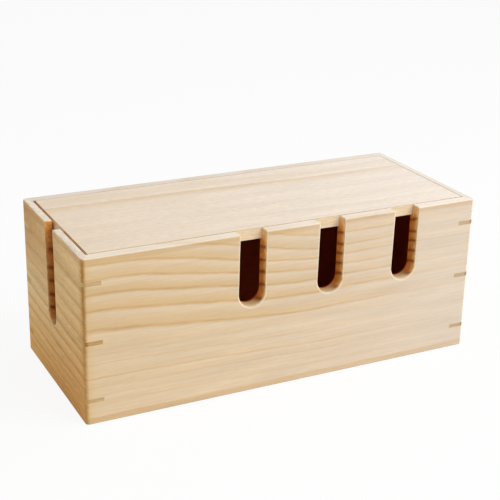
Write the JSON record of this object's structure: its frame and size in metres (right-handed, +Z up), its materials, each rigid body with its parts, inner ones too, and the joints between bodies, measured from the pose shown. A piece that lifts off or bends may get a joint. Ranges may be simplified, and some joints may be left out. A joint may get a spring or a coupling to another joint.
{
  "type": "cable management box",
  "caption": "Long pine box with keyed mitred corners, a flush drop-in lid and round-bottomed slots in its walls that let cables out.",
  "frame": {"origin": "middle of the footprint, on the surface that the box stands on", "axes": "+X along the front to the right, +Y to the back, +Z up; the three slots are in the -Y wall"},
  "size_m": [0.4, 0.17, 0.156],
  "materials": {
    "pine_board": "sanded, thin clear matt finish",
    "pine_lid": "sanded, thin clear matt finish",
    "key_wood": "sanded flush with the walls",
    "plywood_panel": "sanded"
  },
  "bodies": {
    "case": {"front_wall": "pine_board", "back_wall": "pine_board", "left_end_wall": "pine_board", "right_end_wall": "pine_board", "bottom_panel": "plywood_panel", "corner_key_front_left_low": "key_wood", "corner_key_front_left_mid": "key_wood", "corner_key_front_left_high": "key_wood", "corner_key_front_right_low": "key_wood", "corner_key_front_right_mid": "key_wood", "corner_key_front_right_high": "key_wood", "corner_key_back_left_low": "key_wood", "corner_key_back_left_mid": "key_wood", "corner_key_back_left_high": "key_wood", "corner_key_back_right_low": "key_wood", "corner_key_back_right_mid": "key_wood", "corner_key_back_right_high": "key_wood"},
    "lid": {"lid": "pine_lid"}
  },
  "joints": [
    {"name": "lid_lift", "type": "slide", "parent": "case", "child": "lid", "axis": [0, 0, 1], "range_m": [0, 0.1]}
  ]
}
